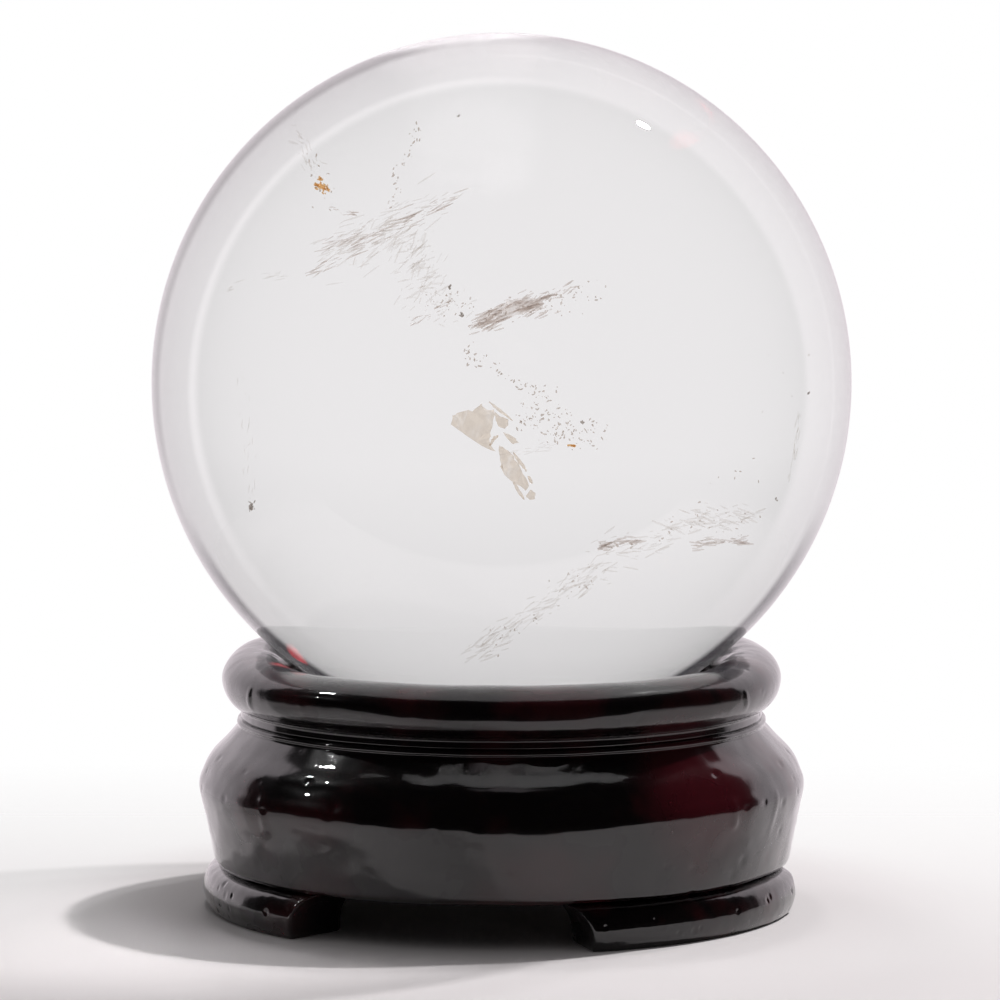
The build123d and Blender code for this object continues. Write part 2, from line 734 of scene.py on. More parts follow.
class FlawKind(Enum):
    """The finishes that the flaws have."""

    TAN_FLAKE = MineralFilm("tan_mineral_flake", "#FDFBF9", "#F7F2EC", "#F3EDE5", 0.14, 0.9 * MM, 0.0, 5, 62)
    FEATHER = MineralFilm("grey_feather_crack", "#FDFCFC", "#F5F2F0", "#DFDAD6", 0.07, 0.6 * MM, 0.1, 4, 22)
    VEIL = MineralFilm("pale_veil", "#FEFEFE", "#FAF9F8", "#F2F0EE", 0.03, 0.9 * MM, 0.1, 3, 25)
    SPECKS = MineralFilm("dark_specks", "#F4F1EE", "#EAE5E1", "#DAD4CF", 0.09, 0.60 * MM)
    IRON = MineralFilm("orange_iron_stain", "#FDF3E4", "#F6DCB6", "#F2CE9C", 0.20, 0.4 * MM, 0.1)
    SMOKE = MineralFilm("dark_fluid_drop", "#ECE9E6", "#DAD5D1", "#D0CBC7", 0.16, 0.5 * MM)


# Outlines of the tan flakes, then the lines that the cracks, veils and specks follow, all drawn
# in hundredths of the ball's radius, right and up from its middle.
FAN = [
    (-14.6, -11.6), (-13.8, -9.3), (-12.3, -8.3), (-9.7, -7.5), (-8.2, -8), (-5.9, -5.7),
    (-4.1, -7.5), (-2.1, -7.5), (-2.8, -11.6), (-3.1, -14.1), (-3.5, -16.7), (-1.8, -19.2),
    (-4.1, -18.5), (-7.2, -16.7), (-11.3, -13.9),
]
CHIP = [(-2.1, -8), (-0.3, -9.3), (2, -10.3), (1.9, -11.8), (0.8, -12.8), (-0.8, -12.3), (-1.6, -10.5)]
DROP = [(0.5, -13.9), (2, -14.4), (4.1, -15.7), (4.8, -16.9), (3.3, -17.2), (1.8, -15.9)]
BLADE = [
    (-0.8, -17.7), (0.5, -18.2), (2.8, -19.7), (4.6, -22.8), (6.1, -25.9), (7.8, -28.7),
    (7, -30.5), (4.6, -28.9), (0.5, -25.9), (-0.5, -23.6), (0.1, -22.8), (-0.9, -19.5),
]
KNOB = [(7, -32), (8.2, -30.3), (9.6, -31.3), (9.4, -32.9), (8, -33.3)]
CRACK = [(-6.8, 17), (-2, 19.2), (3, 21), (8, 22.4), (12.6, 22.2)]
RIDGE = [(-48.5, 38.7), (-41.8, 40.8), (-34.2, 43.3), (-26, 47.4), (-15.3, 52)]
HAZE = [(-35.2, 41.3), (-27, 38), (-23, 31), (-21.4, 25.9)]
TRAIL = [(-22.9, 73.5), (-24.5, 71.4), (-26.5, 65.8), (-29.6, 61.2), (-29.6, 55.1), (-33.1, 50)]
NET = [(4.8, -10), (9.7, -8.2), (13.8, -13.6), (16.8, -14.6), (21, -14.6), (28.6, -14.1)]
STEP = [(-11, 9.9), (-6.7, 6.3), (-3.1, 5.8), (3.6, 0.2), (10.7, -0.8), (15.8, -3.4)]
SLOPE = [(-6.2, -76.3), (2, -71), (12, -64), (20, -58), (28.2, -53.4)]
SHELF = [(28.5, -46.6), (33, -45.4), (39.6, -45.4)]
BANK = [(45, -43), (54.8, -38.5), (62, -40), (69.7, -38.5)]

# For each finish, its films and its sprays of chips.
FLAWS: dict[FlawKind, tuple[list[Flaw], list[Spray]]] = {
    FlawKind.TAN_FLAKE: (
        [
            Flaw(FAN, 0.34, 0.05),
            Flaw(CHIP, 0.36),
            Flaw(DROP, 0.36),
            Flaw([(-3.3, -17.7), (-2.3, -15.9), (-1, -14.9)], 0.36, width=0.9),
            Flaw([(-3.6, -5.2), (3.1, -10.5)], 0.36, width=0.7),
            Flaw(BLADE, 0.38, 0.04),
            Flaw(KNOB, 0.38),
            Flaw([(3.3, -28.2), (6.4, -33)], 0.38, width=0.9),
            Flaw([(3.3, -19.7), (7.1, -24.9)], 0.38, width=0.9),
            Flaw([(7.7, -26.4), (8.7, -28.4)], 0.38, width=0.9),
        ],
        [],
    ),
    FlawKind.FEATHER: (
        [Flaw([(-7, 17.2), (0, 20.4), (7, 22.6), (12, 22)], 0.57, 0.12, 4.6)],
        [
            Spray(CRACK, 130, 1.6, 1.5, 0.16, 24, 12, 0.56, 0.02),
            Spray(RIDGE, 80, 1.4, 1.8, 0.11, 24, 14, 0.5, 0.03),
            Spray([(-53.6, 32.1), (-47.4, 34.1), (-40, 40)], 26, 0.8, 1.6, 0.10, 25, 12),
            Spray([(11.2, 24.2), (15.1, 25.7), (20.9, 27.8)], 34, 0.8, 1, 0.14, 25, 25, 0.6),
            Spray(SHELF, 40, 0.7, 1.1, 0.15, 5, 14, 0.6),
            Spray([(56, -46.2), (62, -44.8), (69.7, -45.2)], 46, 0.7, 1.1, 0.15, 4, 14, 0.6),
            Spray([(-25.8, 17.3), (-20, 19.8), (-14.8, 22.9)], 22, 0.5, 1, 0.09, 25, 12),
            Spray([(-49.5, 51), (-44.4, 48.4), (-41.8, 48.9)], 16, 0.4, 0.9, 0.08, -15, 20),
        ],
    ),
    FlawKind.VEIL: (
        [],
        [
            Spray(HAZE, 150, 3.6, 1.6, 0.16, 40, 40, 0.5, 0.05),
            Spray(RIDGE, 130, 3.2, 2, 0.13, 24, 18, 0.52, 0.05),
            Spray([(-78.1, 27), (-68.4, 30.5), (-61.7, 31.1)], 22, 0.5, 1.6, 0.08, 14, 10),
            Spray(SLOPE, 150, 1.9, 1.5, 0.13, 33, 20, 0.6, 0.04),
            Spray([(28, -50), (36, -47), (44, -44)], 40, 2.2, 1.3, 0.13, 15, 30, 0.6),
            Spray(BANK, 90, 2, 1.4, 0.15, 0, 30, 0.6, 0.04),
            Spray([(84.8, -9), (84, -18), (82, -27.6)], 22, 0.4, 1.3, 0.07, 82, 8),
            Spray([(0, -20), (6.1, -19.7), (13.8, -17.2)], 24, 0.7, 1.2, 0.10, 12, 15, 0.4),
            Spray([(-57.9, 70.4), (-55.6, 64.5), (-53.6, 61.7)], 34, 1.4, 1, 0.12, -50, 35),
            Spray([(-74, 0), (-73, -18), (-71, -33)], 26, 1, 1.2, 0.08, 80, 20, 0.2),
            Spray([(-20, 30), (-17, 24), (-12, 20)], 50, 2.6, 0.9, 0.12, 30, 60),
        ],
    ),
    FlawKind.SPECKS: (
        [],
        [
            Spray(STEP, 60, 1.3, 0.34, 0.13),
            Spray(NET, 110, 2.2, 0.36, 0.13, depth=0.42),
            Spray([(9, -5), (15, -9), (20, -16)], 50, 2.4, 0.32, 0.12, depth=0.42),
            Spray([(12, 21), (19, 23), (26, 28)], 34, 2.8, 0.30, 0.12, depth=0.6),
            Spray(CRACK, 26, 1.4, 0.32, 0.15, 24, 40, 0.57, 0.02),
            Spray(TRAIL, 44, 0.9, 0.36, 0.12, 60, 40, 0.5),
            Spray([(-20, 22), (-14, 25), (-10, 20)], 34, 2.4, 0.30, 0.11),
            Spray([(-56, 66), (-53, 60), (-50, 52)], 24, 1.6, 0.32, 0.11),
            Spray(SHELF, 14, 1, 0.30, 0.14, 0, 60, 0.6),
            Spray(BANK, 30, 3, 0.28, 0.11, depth=0.6),
            Spray(SLOPE, 40, 2.2, 0.28, 0.10, depth=0.6),
            Spray([(60, -30), (75, -20), (86, 10)], 16, 3, 0.34, 0.12, depth=0.3),
        ],
    ),
    FlawKind.IRON: (
        [Flaw([(-52.6, 57), (-51.6, 57.4), (-50.4, 56.2), (-49.8, 54.9), (-51, 55.2)], 0.5)],
        [
            Spray([(-53, 57), (-51, 56.4), (-49.6, 54.8)], 26, 0.8, 0.5, 0.2, -30, 50),
            Spray([(18.9, -18.2), (21.2, -17.4)], 7, 0.4, 0.5, 0.2, 20, 40, 0.42),
        ],
    ),
    FlawKind.SMOKE: (
        [
            Flaw([(-72.2, -34.8), (-71.6, -34.2), (-70.9, -35), (-71.3, -36.2), (-72.1, -36)], 0.08),
            Flaw([(22.4, -11), (23, -10.5), (23.8, -11), (23.2, -11.6)], 0.42),
        ],
        [
            Spray([(-72.4, -35), (-71, -36)], 10, 0.8, 0.6, 0.16, 40, 60, 0.08, 0.01),
            Spray([(-14.8, 27.4), (-14.8, 27.6)], 4, 0.3, 0.5, 0.2),
            Spray([(-11.5, 19.4), (-11.4, 19.5)], 4, 0.3, 0.5, 0.2),
            Spray([(87.7, -2.7), (87.8, -2.6)], 3, 0.1, 0.5, 0.3, depth=0.2),
            Spray([(78.5, -33.3), (78.6, -33.2)], 4, 0.3, 0.5, 0.25, depth=0.2),
            Spray([(-12.3, 76.3), (-12.1, 76.6)], 3, 0.2, 0.4, 0.15, 45, 20),
        ],
    ),
}


@dataclass
class Flaws:
    """The crystal's natural flaws: flakes, healed cracks, specks, veils and one rust stain."""

    ball: CrystalBall
    eye: Vector
    thickness: float = 0.05 * MM

    def inside(self, right: float, up: float, depth: float) -> Vector:
        """The place inside the ball that the eye sees at a place on its face.

        Args:
            right: from the ball's middle, in hundredths of its radius.
            up: the same, upwards.
            depth: how far along the bent ray, from 0 at the near surface to 1 at the far one.

        Returns:
            The place.
        """
        reach = self.ball.centre - self.eye
        forward = reach.normalized()
        side = forward.cross(Vector((0, 0, 1))).normalized()
        above = side.cross(forward)
        spread = math.tan(math.asin(self.ball.radius / reach.length)) / 100
        ray = (forward + side * right * spread + above * up * spread).normalized()
        along = reach.dot(ray)
        half = math.sqrt(self.ball.radius**2 - (reach.length_squared - along**2))
        entry = self.eye + ray * (along - half)
        normal = (entry - self.ball.centre).normalized()
        ratio = 1 / self.ball.quartz.ior
        cosine = -ray.dot(normal)
        bent = ray * ratio + normal * (ratio * cosine - math.sqrt(1 - ratio**2 * (1 - cosine**2)))
        chord = -2 * bent.dot(entry - self.ball.centre)
        return entry + bent * chord * depth

    def scatter(self, spray: Spray, dice: random.Random) -> None:
        """Adds a spray's chips to the mesh that is being edited.

        Args:
            spray: the spray.
            dice: where the random numbers come from.
        """
        line = curve(spray.places, 6)
        for _ in range(spray.count):
            x, y = dice.choice(line)
            x += dice.gauss(0, spray.spread)
            y += dice.gauss(0, spray.spread)
            lean = math.radians(spray.lean + dice.uniform(-1, 1) * spray.lean_spread)
            size = dice.uniform(0.35, 1.0) ** 2
            bpy.ops.mesh.primitive_circle_add(
                vertices=6,
                radius=spray.length * MM / 2 * size,
                fill_type="NGON",
                location=self.inside(x, y, spray.depth + dice.gauss(0, spray.depth_spread)),
                rotation=(math.radians(90), 0, 0),
            )
            narrow = spray.width / spray.length / math.sqrt(size)
            bpy.ops.transform.resize(value=(1, 1, min(narrow, 1.0)))
            bpy.ops.transform.rotate(value=lean, orient_axis="Y")

    def build(self, kind: FlawKind, flaws: list[Flaw], sprays: list[Spray]) -> Piece:
        """Draws all the flaws of one kind, fills them, crumples them and gives them thickness.

        Args:
            kind: their finish.
            flaws: the flaws that are films.
            sprays: the flaws that are sprays of chips.

        Returns:
            One piece that holds them all.
        """
        clear_selection()
        bpy.ops.mesh.primitive_plane_add(size=MM)
        piece = new_piece(f"flaws_{kind.value.name}")
        edit_mode()
        bpy.ops.mesh.delete(type="VERT")
        for flaw in flaws:
            outline = flaw.outline()
            low = min(x for x, _ in outline)
            span = max(x for x, _ in outline) - low
            depths = [flaw.depth + flaw.slope * ((x - low) / span - 0.5) for x, _ in outline]
            points = [self.inside(x, y, depth) for (x, y), depth in zip(outline, depths)]
            bpy.ops.mesh.select_all(action="DESELECT")
            bpy.ops.mesh.primitive_plane_add(size=MM)
            trace(points)
            bpy.ops.mesh.select_linked()
            bpy.ops.mesh.edge_face_add()
        bpy.ops.mesh.select_all(action="SELECT")
        if flaws:
            bpy.ops.mesh.quads_convert_to_tris(quad_method="BEAUTY", ngon_method="BEAUTY")
            bpy.ops.mesh.subdivide(number_cuts=2)
            bpy.ops.transform.vertex_random(offset=0.12 * MM, uniform=0.4, normal=0.6, seed=5)
        dice = random.Random(kind.name)
        for spray in sprays:
            self.scatter(spray, dice)
        bpy.ops.mesh.select_all(action="SELECT")
        bpy.ops.transform.vertex_random(offset=0.02 * MM, uniform=0.6, normal=0.2, seed=7)
        object_mode()
        settle(piece)
        apply_modifier(piece, "SOLIDIFY", thickness=self.thickness, offset=0.0)
        edit_mode()
        bpy.ops.mesh.normals_make_consistent(inside=False)
        object_mode()
        return piece

    def dress(self, piece: Piece, kind: FlawKind) -> None:
        """Gives a piece of flaws its finish and lets it ride in the ball."""
        hand_in(piece, "ball", "quartz", kind.value.make())


# ---- the stand ----


@dataclass
class SeatRing:
    """The rolled rim that the ball rests on, and the short collar under it."""

    low: Vector
    high: Vector
    roll: float = 3.85 * MM
    collar_inset: float = 2.15 * MM
    dish_gap: float = 2.0 * MM
    crest_low_front: float = 0.38  # how much of the roll's upper half the crest loses at the front
    crest_low_back: float = 0.05
    gap: float = 0.3 * MM
    steps: int = 540
    runs: tuple[Run, ...] = (
        Run(-44.0, 0.3, 2.8, 0.75, 1.4),
        Run(-61.0, 0.6, 2.4, 0.8, -1.5),
        Run(58.0, 0.2, 2.2, 0.7, 1.5),
        Run(150.0, 0.0, 2.8, 0.8, 2.0),
    )

    def outline(self, ball: CrystalBall) -> Outline:
        """The ring's section.

        Args:
            ball: the ball, which the dish is concentric with.

        Returns:
            The section's points, closed.
        """
        outer = self.high.x
        middle = (outer - self.roll, self.high.z - self.roll)
        collar = outer - self.collar_inset
        foot_angle = -math.degrees(math.acos((collar - middle[0]) / self.roll))
        dish = ball.radius + self.dish_gap
        down = ball.centre.z - self.low.z
        dish_foot = math.sqrt(dish**2 - down**2)
        dish_top = middle[0] - self.roll + 0.05 * MM
        first = -math.degrees(math.acos(dish_top / dish))
        last = -math.degrees(math.acos(dish_foot / dish))
        line = [(collar, self.low.z)]
        line += arc(middle, self.roll, foot_angle, 186.0, 64)
        line += arc((0.0, ball.centre.z), dish, first, last, 24)
        line.append((collar, self.low.z))
        return evened(line, self.gap)

    def build(self, ball: CrystalBall) -> Piece:
        """Turns the ring, flattens its top at the front, and lets the lacquer pool and run on it."""
        ring = turned("seat_ring_lacquered", self.outline(ball), self.steps)
        self.flatten(ring)
        ripple(ring, 7 * MM, 0.16 * MM)
        ripple(ring, 1.6 * MM, 0.022 * MM, 1)
        middle = self.high.z - self.roll
        marks = [mark for run in self.runs for mark in run.marks(self.high.x, middle)]
        raise_marks(ring, marks, 0.16 * MM)
        pits = scattered(ring, 46, 0.25 * MM, 0.6 * MM, 11, lambda p: p.z > self.low.z + 0.5 * MM)
        raise_marks(ring, pits, -0.10 * MM)
        smooth(ring)
        return ring

    def flatten(self, ring: Piece) -> None:
        """Lowers the roll's crest, most of all along the front, as the hand-shaped ring has it."""
        places = places_of(ring)
        middle = self.high.z - self.roll
        rise = np.clip((places[:, 2] - middle) / self.roll, 0, 1)
        bearing = np.degrees(np.abs(np.arctan2(places[:, 0], -places[:, 1])))
        front = np.clip((105.0 - bearing) / 55.0, 0, 1)
        front = front**2 * (3 - 2 * front)
        least = self.crest_low_back / self.crest_low_front
        share = least + (1 - least) * front
        move_by_weight(ring, rise * share, -self.roll * self.crest_low_front, "Z")


@dataclass
class Drum:
    """The bellied drum, with the floor of the dish in its top."""

    low: Vector
    high: Vector
    collar: float = 30.0 * MM
    lip_width: float = 0.38 * MM
    belly: float = 34.8 * MM
    belly_height: float = 8.8 * MM
    waist: float = 33.2 * MM
    edge: float = 0.9 * MM
    shoulder_drop: float = 4.6 * MM
    dish_gap: float = 2.0 * MM
    gap: float = 0.42 * MM
    steps: int = 520
    runs: tuple[Run, ...] = (
        Run(-50.0, -1.0, 4.5, 1.0, 1.0),
        Run(-33.0, -2.0, 3.4, 0.8, -0.8),
        Run(47.0, -0.6, 4.0, 0.9, 0.8),
        Run(63.0, -1.6, 5.0, 1.1, -1.2),
        Run(120.0, -1.6, 5.0, 1.0, 1.2),
        Run(-128.0, -1.0, 6.0, 1.0, 1.2),
    )

    def outline(self, ball: CrystalBall) -> Outline:
        """The drum's section, from the middle of its underside round to the middle of the dish."""
        floor, top = self.low.z, self.high.z
        dish = ball.radius + self.dish_gap
        dish_rim = math.sqrt(dish**2 - (ball.centre.z - top) ** 2)
        flank = [
            (self.waist + 0.02 * MM, floor + self.edge),
            (self.waist + 0.85 * MM, floor + self.belly_height - 3.6 * MM),
            (self.belly, floor + self.belly_height),
            (self.belly - 0.5 * MM, floor + self.belly_height + 1.95 * MM),
            (self.belly - 1.4 * MM, top - self.shoulder_drop + 0.4 * MM),
            (self.belly - 3.05 * MM, top - 2.5 * MM),
            (self.collar + 0.35 * MM, top - 0.95 * MM),
        ]
        line = [(0.0, floor), (self.waist - self.edge, floor)]
        line += arc((self.waist - self.edge, floor + self.edge), self.edge, -90.0, -12.0, 6)
        line += curve(flank, 12)
        lip = (self.collar + self.lip_width - 0.3 * MM, top - 0.4 * MM)
        line += arc(lip, 0.36 * MM, -60.0, 88.0, 8)
        line += [(self.collar - 0.4 * MM, top), (dish_rim, top)]
        line += arc((0.0, ball.centre.z), dish, -math.degrees(math.acos(dish_rim / dish)), -90.0, 30)
        return evened(line, self.gap)

    def build(self, ball: CrystalBall) -> Piece:
        """Turns the drum, then lets the lacquer pool, wrinkle and run on it."""
        drum = turned("drum_lacquered", self.outline(ball), self.steps)
        ripple(drum, 10 * MM, 0.38 * MM)
        ripple(drum, 2.2 * MM, 0.03 * MM, 1)
        shoulder = self.high.z - self.shoulder_drop
        marks = [mark for run in self.runs for mark in run.marks(self.belly, shoulder)]
        raise_marks(drum, marks, 0.14 * MM)
        inner = self.waist - 1 * MM
        pits = scattered(drum, 90, 0.45 * MM, 0.9 * MM, 23, lambda p: math.hypot(p.x, p.y) > inner)
        raise_marks(drum, pits, -0.12 * MM)
        smooth(drum)
        return drum


@dataclass
class BracketFeet:
    """The three bracket feet, cut from one beaded ring by three arches."""

    height: float
    waist: float = 33.2 * MM
    edge: float = 0.9 * MM
    bead_proud: float = 1.2 * MM
    toe_inset: float = 0.7 * MM
    wall: float = 8.2 * MM
    arch_span: float = 60.0  # degrees, at the floor
    arch_corner: float = 4.6 * MM
    arch_rise: float = 0.5 * MM
    grain: float = 0.17 * MM  # of the mesh
    steps: int = 360
    bearings: dict[str, float] = field(
        default_factory=lambda: {"foot_left": -73.0, "foot_front_right": 47.0, "foot_rear": 167.0}
    )

    @property
    def bead(self) -> float:
        """The radius of the bead."""
        return self.waist + self.bead_proud

    def outline(self) -> Outline:
        """The beaded ring's section, closed."""
        inner = self.bead - self.wall
        top = (self.waist - self.edge, self.height)
        line = [(inner, 0.3 * MM), (inner, self.height), top]
        bead = [
            top,
            (self.bead - 0.62 * MM, self.height - 0.85 * MM),
            (self.bead, self.height / 2),
            (self.bead - 0.2 * MM, 1.1 * MM),
            (self.bead - self.toe_inset, 0.0),
        ]
        line += curve(bead, 8)
        line += [(inner + 0.3 * MM, 0.0), (inner, 0.3 * MM)]
        return evened(line, 0.6 * MM)

    def arch(self, bearing: float) -> Piece:
        """The cutter for one arch: a wedge with its two upper corners rounded off.

        Args:
            bearing: of the arch's middle, in degrees from the front towards the right.

        Returns:
            The cutter.
        """
        near, far, below = 12 * MM, 50 * MM, 2 * MM
        slope = math.tan(math.radians(self.arch_span / 2))
        top = self.height + self.arch_rise
        plan = [(-near * slope, -near), (near * slope, -near), (far * slope, -far), (-far * slope, -far)]
        draw_line(Vector((x, y, -below)) for x, y in plan)
        bpy.ops.mesh.select_all(action="SELECT")
        bpy.ops.mesh.edge_face_add()
        bpy.ops.mesh.extrude_region_move(TRANSFORM_OT_translate={"value": (0, 0, top + below)})
        bpy.ops.mesh.select_all(action="DESELECT")
        object_mode()
        cutter = new_piece("arch_cutter")
        settle(cutter)
        for side in cutter.data.edges:
            ends = [cutter.data.vertices[i].co for i in side.vertices]
            side.select = min(e.z for e in ends) > 0 and abs(ends[0].y - ends[1].y) > near
        bpy.context.tool_settings.mesh_select_mode = (False, True, False)
        bpy.ops.object.mode_set(mode="EDIT")
        bpy.ops.mesh.bevel(offset=self.arch_corner, offset_type="OFFSET", segments=16)
        bpy.ops.mesh.select_mode(type="VERT")
        clean_shell()
        object_mode()
        cutter.rotation_euler.z = math.radians(bearing)
        settle(cutter)
        return cutter

    def build(self) -> list[Piece]:
        """Turns the ring, saws the three arches out of it and softens each foot under its lacquer."""
        band = turned("foot_band", self.outline(), self.steps)
        pitch = 360.0 / len(self.bearings)
        for bearing in self.bearings.values():
            cutter = self.arch(bearing + pitch / 2)
            apply_modifier(band, "BOOLEAN", operation="DIFFERENCE", object=cutter, solver="EXACT")
            bpy.data.objects.remove(cutter)
        pick(band)
        bpy.ops.mesh.separate(type="LOOSE")
        return [self.soften(foot) for foot in list(bpy.context.selected_objects)]

    def soften(self, foot: Piece) -> Piece:
        """Rounds a sawn foot's edges, makes its lacquer uneven and names it by its bearing.

        Args:
            foot: one sawn foot.

        Returns:
            The finished foot.
        """
        middle = Vector(places_of(foot).mean(axis=0)).normalized()
        nearest = max(self.bearings, key=lambda name: middle @ bearing_point(self.bearings[name], 1.0, 0.0))
        foot.name = f"{nearest}_lacquered"
        foot.data.name = foot.name
        apply_modifier(foot, "REMESH", mode="VOXEL", voxel_size=self.grain, adaptivity=0.0)
        apply_modifier(foot, "SMOOTH", factor=0.5, iterations=14)
        ripple(foot, 6 * MM, 0.16 * MM)
        ripple(foot, 1.6 * MM, 0.03 * MM, 1)
        pits = scattered(foot, 16, 0.35 * MM, 0.7 * MM, 31, lambda p: math.hypot(p.x, p.y) > self.waist)
        raise_marks(foot, pits, -0.12 * MM)
        smooth(foot)
        return foot


# ---- the studio ----


@dataclass(frozen=True)
class Lamp:
    """One round lamp that points at the ball."""

    name: str
    way: tuple[float, float, float]  # from the ball to the lamp
    away: float  # how far off it hangs, in metres
    size: float  # its width, in metres
    power: float  # in watts
    mirrored: bool = True  # whether it shows as a glint
    stand_only: bool = False  # whether it lights only the lacquered pieces


TOP_WAY = (-0.10, 0.37, 0.93)


@dataclass
class Studio:
    """A pale cloth-white floor in a soft white tent that is open and dark towards the front."""

    middle: Vector
    lens: float = 159.84
    sensor: float = 36.0
    eye: Vector = field(default_factory=lambda: Vector((-0.17, -508.16, 89.23)) * MM)
    pitch_down: float = 4.8
    floor_radius: float = 0.25
    floor_solid: float = 0.075
    floor_gone: float = 0.140
    lamps: tuple[Lamp, ...] = (
        Lamp("key_light", (0.78, 0.38, 1.25), 0.7, 0.035, 3.3, mirrored=False),
        Lamp("top_light", TOP_WAY, 0.7, 0.10, 0.5, mirrored=False),
        Lamp("star_light", (0.46, 0.35, 0.82), 0.6, 0.030, 0.5),
        Lamp("high_side_light", (-0.68, 0.19, 0.71), 0.6, 0.022, 0.22, stand_only=True),
        Lamp("low_side_light", (-0.90, -0.09, 0.43), 0.6, 0.018, 0.10, stand_only=True),
    )
    top_glare: float = 6.0  # how bright the top light shows through the ball
    skylight_way: tuple[float, float, float] = (0.02, -0.27, 0.963)
    # What shows through the ball at its left and right: a place from the front, 0, to the back, 1,
    # and the tone there. The steps make the fine ring, and the dark stretch makes the edge.
    left_tones: tuple[tuple[float, float], ...] = (
        (0.30, 0.85), (0.45, 0.24), (0.62, 0.28), (0.665, 0.77), (0.800, 0.80), (0.815, 0.93), (0.835, 0.885),
        (1.0, 0.905),
    )
    right_tones: tuple[tuple[float, float], ...] = (
        (0.30, 0.85), (0.42, 0.26), (0.52, 0.30), (0.56, 0.89), (0.715, 0.93), (0.725, 1.0), (0.735, 0.93),
        (0.82, 0.92), (1.0, 0.90),
    )

    def camera(self) -> None:
        """Sets up the camera at its place, looking slightly down along +Y."""
        data = bpy.data.cameras.new("front_camera")
        data.lens = self.lens
        data.sensor_width = self.sensor
        data.clip_start = 0.01
        data.clip_end = 20.0
        eye = bpy.data.objects.new("front_camera", data)
        eye.location = self.eye
        eye.rotation_euler = (math.radians(90.0 - self.pitch_down), 0.0, 0.0)
        bpy.context.scene.collection.objects.link(eye)
        bpy.context.scene.camera = eye

    def floor(self) -> None:
        """Lays the floor, which fades into the white round it."""
        clear_selection()
        bpy.ops.mesh.primitive_circle_add(vertices=96, radius=self.floor_radius, fill_type="NGON")
        floor = new_piece("studio_floor")
        material, tree, output = blank_material("pale_matt_floor")
        place = node(tree, "TexCoord").outputs["Object"]
        away = node(tree, "VectorMath", APART, place, (0, 0, 0))
        depth = node(tree, "SeparateXYZ", None, Vector=place).outputs["Y"]
        round_fade = node(tree, "MapRange", SOFTLY, away, self.floor_solid, self.floor_gone)
        deep_fade = node(tree, "MapRange", None, depth, -0.050, 0.110)
        beside = node(tree, "MapRange", SOFTLY, away, self.floor_solid * 0.5, self.floor_solid * 0.8)
        fade = node(tree, "Math", GREATER, round_fade, node(tree, "Math", TIMES, deep_fade, beside))
        path = node(tree, "LightPath")
        in_front = node(tree, "MapRange", SOFTLY, depth, -0.060, -0.066)
        front_end = node(tree, "Math", TIMES, in_front, path.outputs["Is Glossy Ray"])
        gone = node(tree, "Math", GREATER, fade, front_end)
        gone = node(tree, "Math", GREATER, gone, path.outputs["Is Transmission Ray"])
        pale = node(tree, "BsdfDiffuse", Color=linear("#F1EBEC"))
        clear = node(tree, "BsdfTransparent")
        cloth = node(tree, "MixShader", None, gone, pale, clear)
        tree.links.new(cloth.outputs["Shader"], output.inputs["Surface"])
        floor.data.materials.append(material)

    def tent(self) -> None:
        """Makes the light all round: white behind, beside and above, and dark in front."""
        world = bpy.data.worlds.new("light_tent")
        bpy.context.scene.world = world
        world.use_nodes = True
        tree = world.node_tree
        tree.nodes.clear()
        way = node(tree, "TexCoord").outputs["Generated"]
        axes = node(tree, "SeparateXYZ", None, Vector=way)
        path = node(tree, "LightPath")
        mirrored = self.mirrored(tree, way, axes)
        bent = self.bent(tree, way, axes)
        colour = node(tree, "Mix", COLOURS, path.outputs["Is Glossy Ray"], self.lit(tree, axes), mirrored)
        colour = node(tree, "Mix", COLOURS, path.outputs["Is Transmission Ray"], colour, bent)
        colour = node(tree, "Mix", COLOURS, path.outputs["Is Camera Ray"], colour, grey(1.0))
        light = node(tree, "Background", None, Color=colour, Strength=1.0)
        output = tree.nodes.new("ShaderNodeOutputWorld")
        tree.links.new(light.outputs["Background"], output.inputs["Surface"])

    def lit(self, tree: Tree, axes: Node) -> Node:
        """The soft light on matt things: from behind and above, and little from the front."""
        behind = node(tree, "MapRange", SOFTLY, axes.outputs["Y"], -0.35, 0.55)
        above = node(tree, "MapRange", SOFTLY, axes.outputs["Z"], 0.35, 0.95)
        return node(tree, "Mix", COLOURS, node(tree, "Math", GREATER, behind, above), grey(0.02), grey(0.29))

    def mirrored(self, tree: Tree, way: Socket, axes: Node) -> Node:
        """What the lacquer mirrors: a white tent, open and dark to the front and low at the sides."""
        side = node(tree, "Math", TIMES, node(tree, "MapRange", SOFTLY, axes.outputs["Y"], 0.41, 0.50), 0.95)
        high = node(tree, "VectorMath", FACING, way, self.skylight_way)
        lid = node(tree, "Math", TIMES, node(tree, "MapRange", SOFTLY, high, 0.988, 0.998), 0.4)
        return node(tree, "Mix", COLOURS, node(tree, "Math", GREATER, side, lid), grey(0.004), linear("#FBF1F7"))

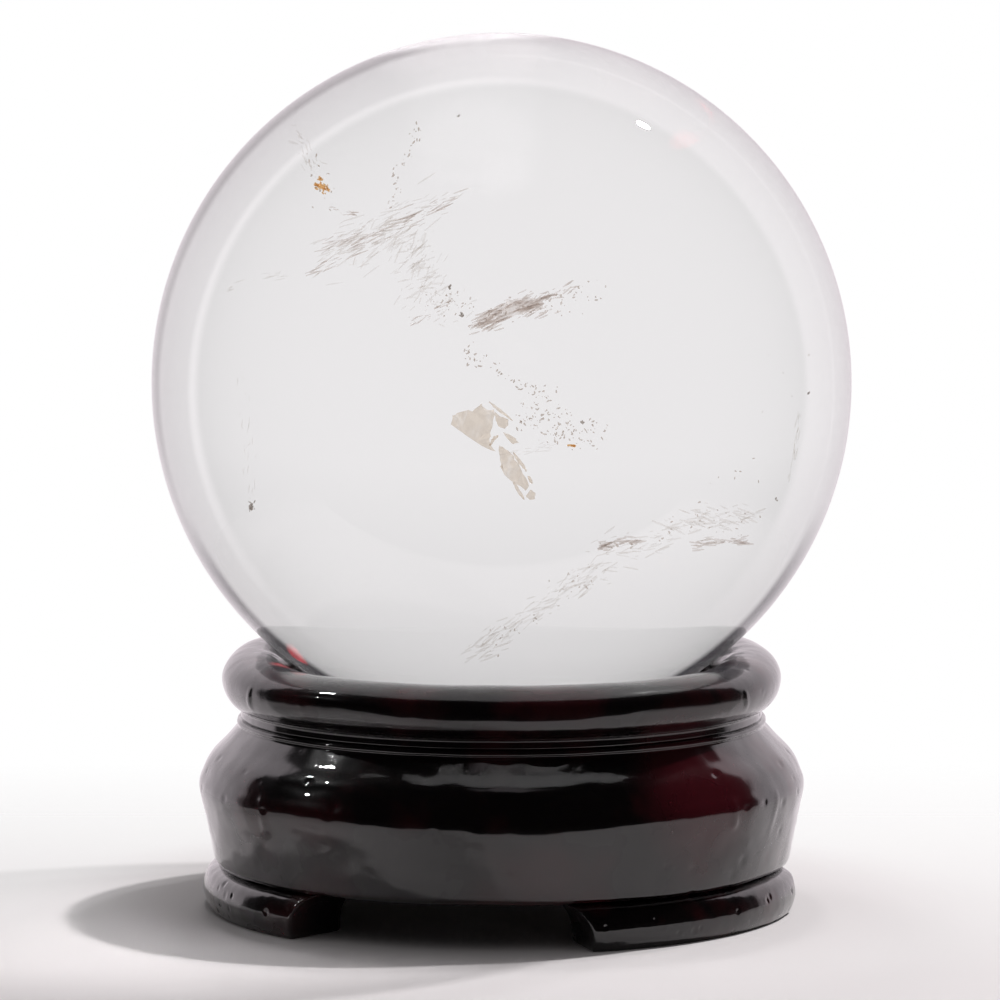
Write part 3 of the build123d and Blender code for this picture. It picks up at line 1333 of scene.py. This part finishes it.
    def bent(self, tree: Tree, way: Socket, axes: Node) -> Node:
        """What shows through the ball: soft whites, a fine bright ring and a darker edge."""
        back = node(tree, "MapRange", None, axes.outputs["Y"], -1.0, 1.0)
        left = node(tree, "ValToRGB", None, back, stops=greys(*self.left_tones))
        right = node(tree, "ValToRGB", None, back, stops=greys(*self.right_tones))
        turn = node(tree, "MapRange", SOFTLY, axes.outputs["X"], 0.3, -0.3)
        tone = node(tree, "Mix", COLOURS, turn, left, right)
        low = node(tree, "MapRange", None, axes.outputs["Z"], 0.10, 0.75)
        tone = node(tree, "Mix", COLOURS, low, tone, grey(0.72))
        behind = node(tree, "MapRange", SOFTLY, axes.outputs["Y"], 0.44, 0.34)
        rim = node(tree, "Math", TIMES, behind, node(tree, "MapRange", SOFTLY, axes.outputs["Z"], 0.30, 0.60))
        rim = node(tree, "Math", TIMES, rim, node(tree, "MapRange", SOFTLY, axes.outputs["Y"], -0.45, -0.25))
        tone = node(tree, "Mix", COLOURS, rim, tone, linear("#3A383F"))
        toward = node(tree, "VectorMath", FACING, way, Vector(TOP_WAY).normalized())
        glare = node(tree, "MapRange", SOFTLY, toward, 0.960, 0.985)
        tone = node(tree, "Mix", COLOURS, glare, tone, grey(self.top_glare))
        path = node(tree, "LightPath")
        straight = node(tree, "MapRange", SOFTLY, path.outputs["Diffuse Depth"], 0.9, 0.1)
        # The background counts one bounce more than the ray has made, so rays that only pass
        # through the ball towards the front are darkened too, not just those thrown back inside it.
        thrown_back = node(tree, "MapRange", SOFTLY, path.outputs["Ray Depth"], 2.4, 2.6)
        thrown_back = node(tree, "Math", TIMES, straight, thrown_back)
        front = node(tree, "Math", TIMES, thrown_back, node(tree, "MapRange", SOFTLY, axes.outputs["Y"], -0.45, -0.70))
        return node(tree, "Mix", COLOURS, front, tone, grey(0.04))

    def hang(self, lamp: Lamp, stand: list[Piece]) -> None:
        """Hangs one lamp.

        Args:
            lamp: the lamp.
            stand: the lacquered pieces.
        """
        data = bpy.data.lights.new(lamp.name, "AREA")
        data.shape = "DISK"
        data.size = lamp.size
        data.energy = lamp.power
        made = bpy.data.objects.new(lamp.name, data)
        way = Vector(lamp.way)
        made.location = self.middle + way.normalized() * lamp.away
        made.rotation_mode = "QUATERNION"
        made.rotation_quaternion = way.to_track_quat("Z", "Y")
        made.visible_transmission = False
        made.visible_glossy = lamp.mirrored
        bpy.context.scene.collection.objects.link(made)
        if lamp.stand_only:
            group = bpy.data.collections.new(f"lit_by_{lamp.name}")
            for piece in stand:
                group.objects.link(piece)
            made.light_linking.receiver_collection = group

    def build(self, stand: list[Piece]) -> None:
        """Builds the whole studio.

        Args:
            stand: the lacquered pieces, which two small lamps make glint.
        """
        self.camera()
        self.floor()
        self.tent()
        for lamp in self.lamps:
            self.hang(lamp, stand)


# ---- the whole ----


def main() -> None:
    """Builds, dresses and reports every piece."""
    logging.basicConfig(level=logging.INFO, format="%(asctime)s %(name)s: %(message)s")
    ball = CrystalBall(*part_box("crystal_ball"))
    ball.dress(ball.build())
    studio = Studio(ball.centre)
    flaws = Flaws(ball, studio.eye)
    for kind, (films, sprays) in FLAWS.items():
        flaws.dress(flaws.build(kind, films, sprays), kind)
    lacquer = DarkLacquer().make()
    ring = SeatRing(*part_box("seat_ring")).build(ball)
    hand_in(ring, "stand", "lacquer", lacquer, "seat_ring")
    drum = Drum(*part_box("drum")).build(ball)
    hand_in(drum, "stand", "lacquer", lacquer, "drum")
    feet = BracketFeet(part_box("foot_left")[1].z).build()
    for foot in feet:
        hand_in(foot, "stand", "lacquer", lacquer, foot.name.removesuffix("_lacquered"))
    studio.build([ring, drum, *feet])
    scene = bpy.context.scene
    scene.view_settings.view_transform = "Standard"
    scene.cycles.use_denoising = True
    scene.cycles.transparent_max_bounces = 24


if __name__ == "__main__":
    main()
